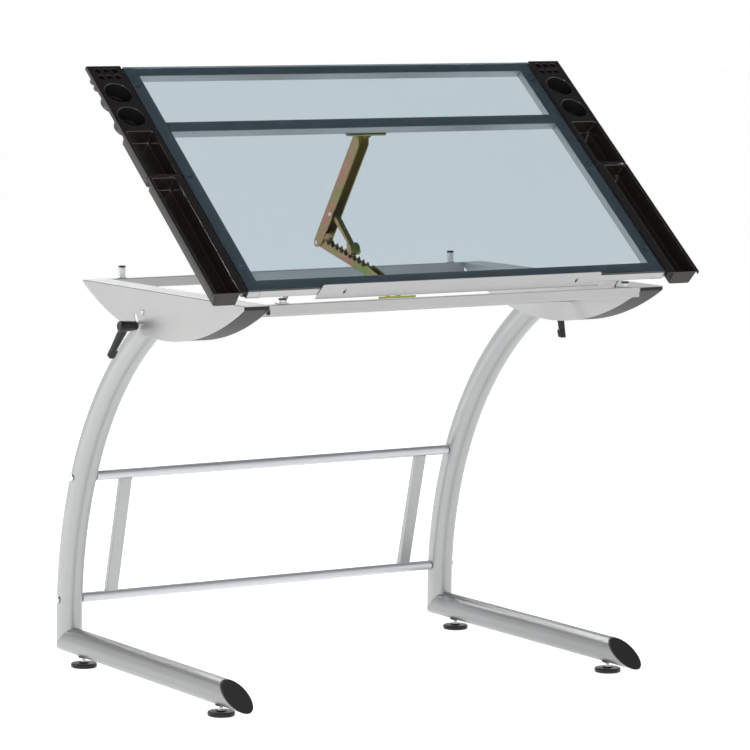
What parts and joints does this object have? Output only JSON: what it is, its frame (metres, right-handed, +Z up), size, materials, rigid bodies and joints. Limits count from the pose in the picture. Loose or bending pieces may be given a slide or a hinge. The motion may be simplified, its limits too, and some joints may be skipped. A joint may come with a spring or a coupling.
{
  "type": "drafting table",
  "caption": "Drafting table with a tilting tinted-glass top, ratchet support, side trays, pencil ledge, and curved tube legs joined by rails.",
  "frame": {"origin": "middle of the bounding box's footprint, on the floor", "axes": "+X to the right of a person who sits at the table, -Y towards that person, +Z up"},
  "size_m": [1.047, 0.769, 1.16],
  "materials": {
    "silver_paint": "satin metallic silver powder coat",
    "charcoal_paint": "matt charcoal paint",
    "tinted_glass": "clear tempered glass with a blue-grey tint",
    "black_plastic": "black moulded plastic, soft gloss",
    "black_rubber": "matt black rubber",
    "clear_vinyl": "soft translucent vinyl",
    "yellow_zinc": "steel, yellow iridescent zinc plating",
    "bright_steel": "bright zinc-plated steel"
  },
  "bodies": {
    "base": {"left_leg": "silver_paint", "left_foot_tube": "silver_paint", "left_foot_cap": "black_plastic", "left_slat": "silver_paint", "left_pivot_screw": "bright_steel", "right_leg": "silver_paint", "right_foot_tube": "silver_paint", "right_foot_cap": "black_plastic", "right_slat": "silver_paint", "right_pivot_screw": "bright_steel", "upper_rail": "silver_paint", "lower_rail": "silver_paint"},
    "head": {"left_outer_panel": "silver_paint", "left_inner_shell": "silver_paint", "left_front_strip": "charcoal_paint", "left_rear_post": "silver_paint", "left_rear_post_cap": "black_rubber", "left_hinge_bracket": "silver_paint", "right_outer_panel": "silver_paint", "right_inner_shell": "silver_paint", "right_front_strip": "charcoal_paint", "right_rear_post": "silver_paint", "right_rear_post_cap": "black_rubber", "right_hinge_bracket": "silver_paint", "front_crossbar": "silver_paint", "rear_crossbar": "silver_paint", "middle_crossbar": "silver_paint", "support_base_bracket": "yellow_zinc"},
    "board": {"left_frame_member": "silver_paint", "left_end_plug": "black_plastic", "left_ledge_screw": "bright_steel", "left_front_pad": "clear_vinyl", "left_middle_pad": "clear_vinyl", "left_rear_pad": "clear_vinyl", "right_frame_member": "silver_paint", "right_end_plug": "black_plastic", "right_ledge_screw": "bright_steel", "right_front_pad": "clear_vinyl", "right_middle_pad": "clear_vinyl", "right_rear_pad": "clear_vinyl", "front_frame_member": "silver_paint", "cross_frame_member": "silver_paint", "rear_frame_member": "silver_paint", "glass_panel": "tinted_glass", "support_top_bracket": "yellow_zinc"},
    "left_lever": {"left_clamp_lever": "black_plastic"},
    "left_front_foot": {"left_front_leveller": "black_rubber"},
    "left_front_tray": {"left_front_tray": "black_plastic"},
    "left_rear_foot": {"left_rear_leveller": "black_rubber"},
    "left_rear_tray": {"left_rear_tray": "black_plastic"},
    "right_lever": {"right_clamp_lever": "black_plastic"},
    "right_front_foot": {"right_front_leveller": "black_rubber"},
    "right_front_tray": {"right_front_tray": "black_plastic"},
    "right_rear_foot": {"right_rear_leveller": "black_rubber"},
    "right_rear_tray": {"right_rear_tray": "black_plastic"},
    "ledge": {"pencil_ledge": "silver_paint"},
    "upper_arm": {"support_upper_arm": "yellow_zinc"},
    "lower_arm": {"support_lower_arm": "yellow_zinc"},
    "pawl": {"support_pawl": "yellow_zinc"}
  },
  "joints": [
    {"name": "head_tilt", "type": "hinge", "parent": "base", "child": "head", "pos_m": [0, 0.0089, 0.711], "axis": [1, 0, 0], "range_deg": [-45, 0]},
    {"name": "top_tilt", "type": "hinge", "parent": "head", "child": "board", "pos_m": [0, -0.342, 0.7483], "axis": [1, 0, 0], "range_deg": [-38.5, 3]},
    {"name": "upper_arm_fold", "type": "hinge", "parent": "board", "child": "upper_arm", "pos_m": [0, -0.01783, 1.02749], "axis": [1, 0, 0], "range_deg": [-13, 1.1]},
    {"name": "lower_arm_fold", "type": "hinge", "parent": "upper_arm", "child": "lower_arm", "pos_m": [0, 0.1286, 0.815], "axis": [1, 0, 0], "range_deg": [-26, 2.1]},
    {"name": "pawl_swing", "type": "hinge", "parent": "upper_arm", "child": "pawl", "pos_m": [0, 0.07946, 0.87222], "axis": [1, 0, 0], "range_deg": [-41, 3.2]},
    {"name": "left_lever_turn", "type": "hinge", "parent": "base", "child": "left_lever", "pos_m": [-0.473, 0.0224, 0.6855], "axis": [1, 0, 0], "range_deg": [-58, 36]},
    {"name": "left_front_foot_adjust", "type": "slide", "parent": "base", "child": "left_front_foot", "axis": [0, 0, 1], "range_m": [-0.01, 0.006]},
    {"name": "left_front_tray_lift", "type": "slide", "parent": "board", "child": "left_front_tray", "axis": [0, -0.6225, 0.7826], "range_m": [0, 0.08]},
    {"name": "left_rear_foot_adjust", "type": "slide", "parent": "base", "child": "left_rear_foot", "axis": [0, 0, 1], "range_m": [-0.01, 0.006]},
    {"name": "left_rear_tray_lift", "type": "slide", "parent": "board", "child": "left_rear_tray", "axis": [0, -0.6225, 0.7826], "range_m": [0, 0.08]},
    {"name": "right_lever_turn", "type": "hinge", "parent": "base", "child": "right_lever", "pos_m": [0.473, 0.0224, 0.6855], "axis": [1, 0, 0], "range_deg": [-33, 60]},
    {"name": "right_front_foot_adjust", "type": "slide", "parent": "base", "child": "right_front_foot", "axis": [0, 0, 1], "range_m": [-0.01, 0.006]},
    {"name": "right_front_tray_lift", "type": "slide", "parent": "board", "child": "right_front_tray", "axis": [0, -0.6225, 0.7826], "range_m": [0, 0.08]},
    {"name": "right_rear_foot_adjust", "type": "slide", "parent": "base", "child": "right_rear_foot", "axis": [0, 0, 1], "range_m": [-0.01, 0.006]},
    {"name": "right_rear_tray_lift", "type": "slide", "parent": "board", "child": "right_rear_tray", "axis": [0, -0.6225, 0.7826], "range_m": [0, 0.08]},
    {"name": "ledge_slide", "type": "slide", "parent": "board", "child": "ledge", "axis": [0, -0.6225, 0.7826], "range_m": [-0.0058, 0]}
  ],
  "couplings": [
    {"joint": "upper_arm_fold", "follows": "top_tilt", "ratio": 0.33394},
    {"joint": "lower_arm_fold", "follows": "top_tilt", "ratio": 0.67048},
    {"joint": "pawl_swing", "follows": "top_tilt", "ratio": 1.05}
  ]
}
